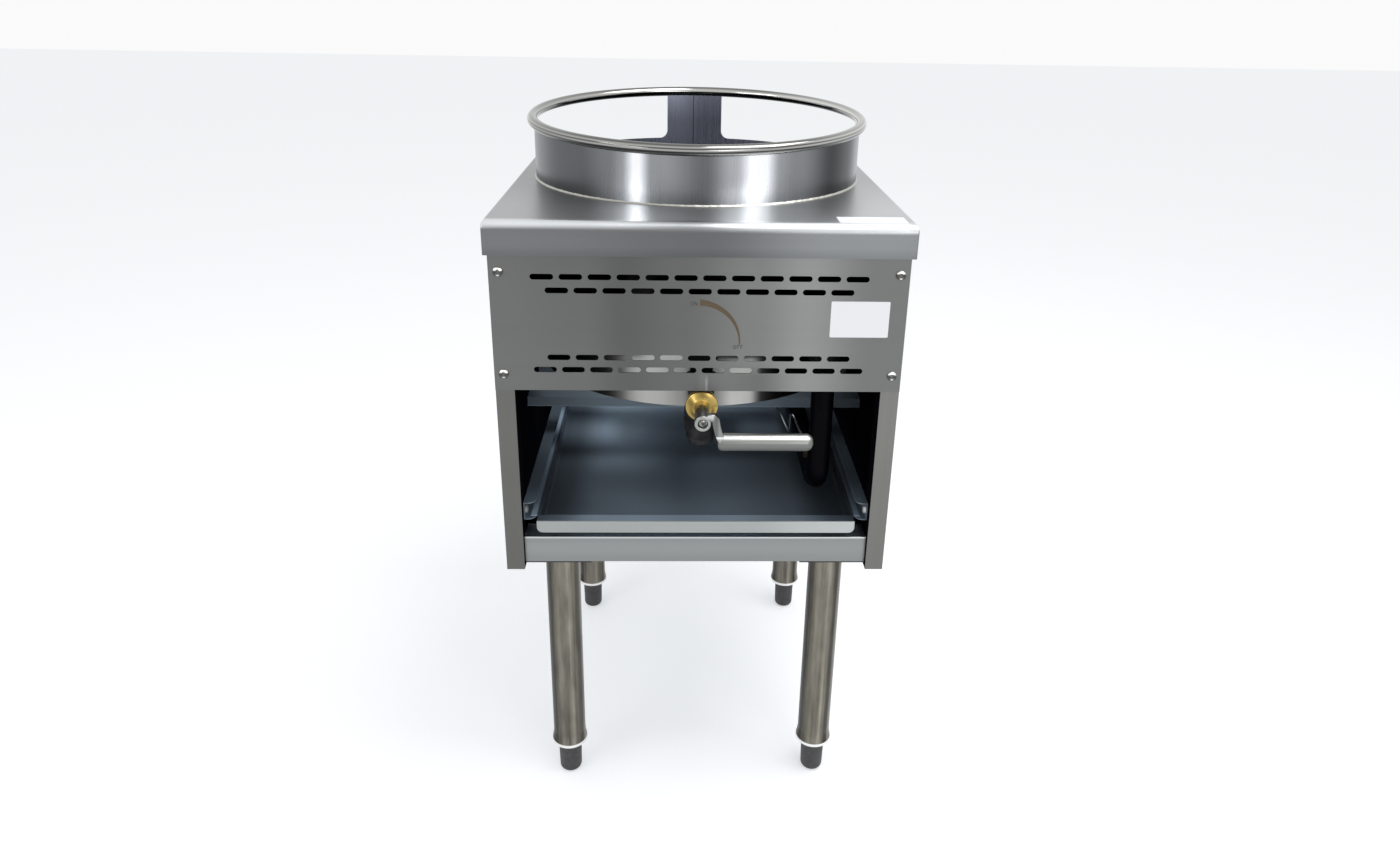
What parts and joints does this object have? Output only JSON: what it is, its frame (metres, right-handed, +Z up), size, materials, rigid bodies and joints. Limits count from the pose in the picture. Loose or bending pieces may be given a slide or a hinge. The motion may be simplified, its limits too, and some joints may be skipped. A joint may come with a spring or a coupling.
{
  "type": "wok range",
  "caption": "Free-standing gas wok range: a round wok ring with rear windows on a sheet steel cabinet with drip tray, jet burner, lever gas valve and tube legs.",
  "frame": {"origin": "on the floor under the middle of the range's bounding box", "axes": "+Z up, -Y towards the control panel's side, +X to the right as seen from the front"},
  "size_m": [0.457, 0.574, 0.8718],
  "materials": {
    "top_sheet": "brushed along X, satin",
    "ring_sheet": "brushed round the ring, satin",
    "ring_weld": "ground weld",
    "rim_steel": "polished",
    "drum_steel": "mill finish, dark",
    "panel_sheet": "brushed along X, satin",
    "side_sheet": "brushed along Z, satin",
    "rail_steel": "brushed along X, satin",
    "plate_steel": "matte, dark",
    "leg_steel": "ground along the tube",
    "insert_steel": "bright",
    "foot_plastic": "matte",
    "slide_steel": "satin, dark",
    "tray_steel": "satin, blue-grey",
    "screw_steel": "bright",
    "label_white": "plain",
    "burner_iron": "as cast",
    "brass": "machined",
    "pipe_black": "gloss black",
    "elbow_iron": "as cast, black",
    "stem_steel": "turned, dark",
    "lever_alloy": "cast and polished",
    "tube_alloy": "bright"
  },
  "bodies": {
    "range_frame": {"top_plate": "top_sheet", "wok_ring": "ring_sheet", "ring_weld": "ring_weld", "rim_bead": "rim_steel", "combustion_drum": "drum_steel", "control_panel": "panel_sheet", "panel_screws": "screw_steel", "blank_label": "label_white", "side_panel_left": "side_sheet", "side_panel_right": "side_sheet", "back_panel": "side_sheet", "back_screws": "screw_steel", "front_apron": "rail_steel", "rear_rail": "rail_steel", "leg_plate_front_left": "plate_steel", "leg_plate_front_right": "plate_steel", "leg_plate_rear_left": "plate_steel", "leg_plate_rear_right": "plate_steel", "leg_front_left": "leg_steel", "leg_front_right": "leg_steel", "leg_rear_left": "leg_steel", "leg_rear_right": "leg_steel", "leg_insert_front_left": "insert_steel", "leg_insert_front_right": "insert_steel", "leg_insert_rear_left": "insert_steel", "leg_insert_rear_right": "insert_steel", "tray_slide_left": "slide_steel", "tray_slide_right": "slide_steel", "slide_screws": "screw_steel", "crossbar_front": "slide_steel", "crossbar_rear": "slide_steel", "burner_body": "burner_iron", "burner_jets": "brass", "burner_bolts": "screw_steel", "burner_nuts": "screw_steel", "burner_pipe": "pipe_black", "valve_elbow": "elbow_iron", "valve_body": "brass", "valve_bonnet": "brass", "drop_nipple": "pipe_black", "valve_top_elbow": "elbow_iron", "cross_pipe": "pipe_black", "riser_elbow": "elbow_iron", "supply_riser": "pipe_black", "inlet_coupling": "elbow_iron", "inlet_nipple": "pipe_black", "pilot_fitting": "brass", "pilot_tube": "tube_alloy", "pilot_burner": "brass", "pilot_bracket": "slide_steel"},
    "gas_lever_unit": {"valve_stem": "stem_steel", "gas_lever": "lever_alloy", "lever_screw": "screw_steel"},
    "tray_unit": {"drip_tray": "tray_steel"},
    "foot_unit_front_left": {"foot_front_left": "foot_plastic"},
    "foot_unit_front_right": {"foot_front_right": "foot_plastic"},
    "foot_unit_rear_left": {"foot_rear_left": "foot_plastic"},
    "foot_unit_rear_right": {"foot_rear_right": "foot_plastic"}
  },
  "joints": [
    {"name": "gas_lever_turn", "type": "hinge", "parent": "range_frame", "child": "gas_lever_unit", "pos_m": [0.004, -0.247, 0.56755], "axis": [0, -1, 0], "range_deg": [0, 90]},
    {"name": "drip_tray_slide", "type": "slide", "parent": "range_frame", "child": "tray_unit", "axis": [0, -1, 0], "range_m": [0, 0.35]},
    {"name": "foot_screw_front_left", "type": "slide", "parent": "range_frame", "child": "foot_unit_front_left", "axis": [0, 0, -1], "range_m": [0, 0.02]},
    {"name": "foot_screw_front_right", "type": "slide", "parent": "range_frame", "child": "foot_unit_front_right", "axis": [0, 0, -1], "range_m": [0, 0.02]},
    {"name": "foot_screw_rear_left", "type": "slide", "parent": "range_frame", "child": "foot_unit_rear_left", "axis": [0, 0, -1], "range_m": [0, 0.02]},
    {"name": "foot_screw_rear_right", "type": "slide", "parent": "range_frame", "child": "foot_unit_rear_right", "axis": [0, 0, -1], "range_m": [0, 0.02]}
  ]
}
